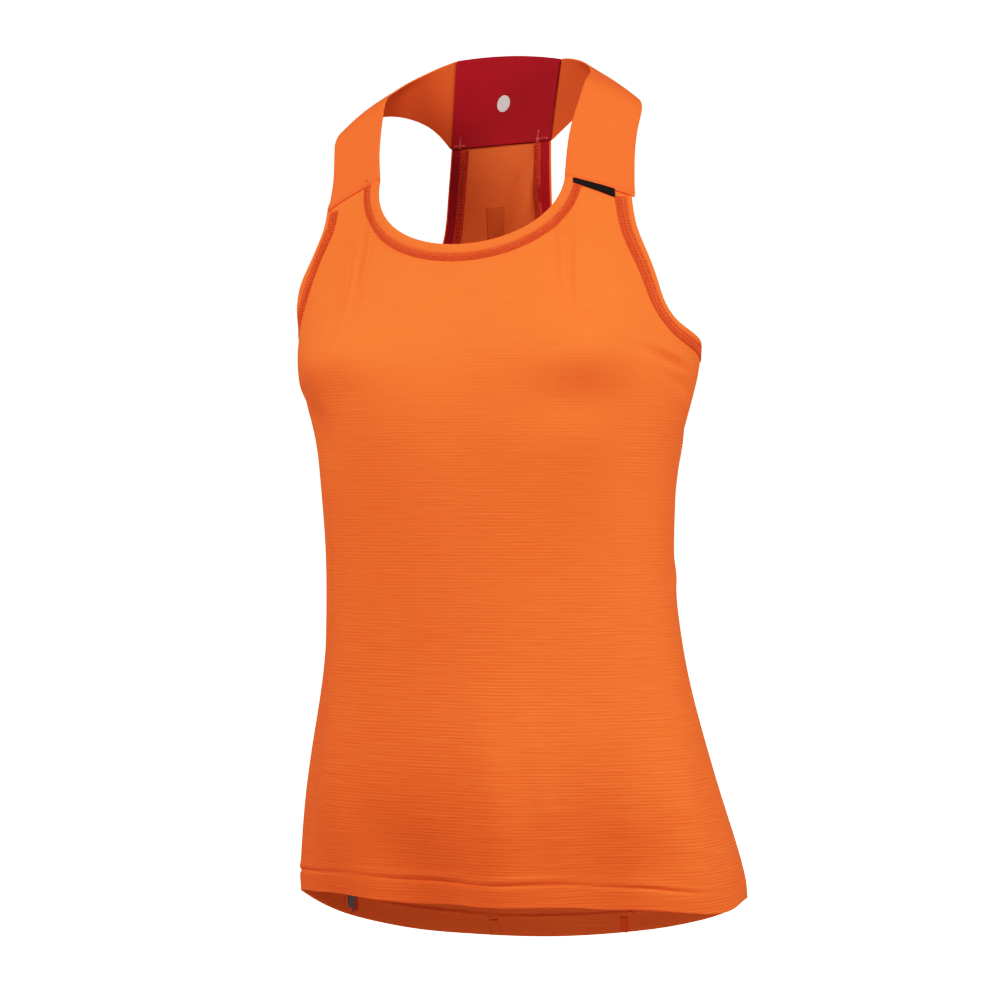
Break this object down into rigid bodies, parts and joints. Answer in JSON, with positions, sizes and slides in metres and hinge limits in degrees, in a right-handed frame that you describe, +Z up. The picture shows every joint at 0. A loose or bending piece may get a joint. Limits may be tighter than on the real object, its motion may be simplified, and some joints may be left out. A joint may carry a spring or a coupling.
{
  "type": "racerback running top",
  "caption": "Sleeveless women's running top in light orange knit with a racer back, red inner yoke, bound neck and armholes and a dropped tail, filled out as if worn.",
  "frame": {"origin": "the place midway between the shoulders where the wearer's shoulders carry the two straps", "axes": "+Z up along the wearer's spine, -Y the way the garment's front faces, +X to the wearer's left"},
  "size_m": [0.3339, 0.2653, 0.6662],
  "materials": {
    "orange_knit": "matt light polyester knit with fine level ribs",
    "orange_binding": "matt folded edge of the same knit",
    "red_facing": "matt smooth woven tape and facing",
    "black_label": "folded woven label, bare",
    "grey_tab": "soft woven tab, bare"
  },
  "bodies": {
    "root": {"front_panel": "orange_knit", "back_panel": "orange_knit", "strap_left": "orange_knit", "strap_right": "orange_knit", "back_yoke": "orange_knit", "yoke_facing": "red_facing", "racer_facing_left": "red_facing", "racer_facing_right": "red_facing", "neck_binding": "orange_binding", "armhole_binding_left": "orange_binding", "armhole_binding_right": "orange_binding", "shoulder_label": "black_label", "hem_tab": "grey_tab"}
  },
  "joints": []
}
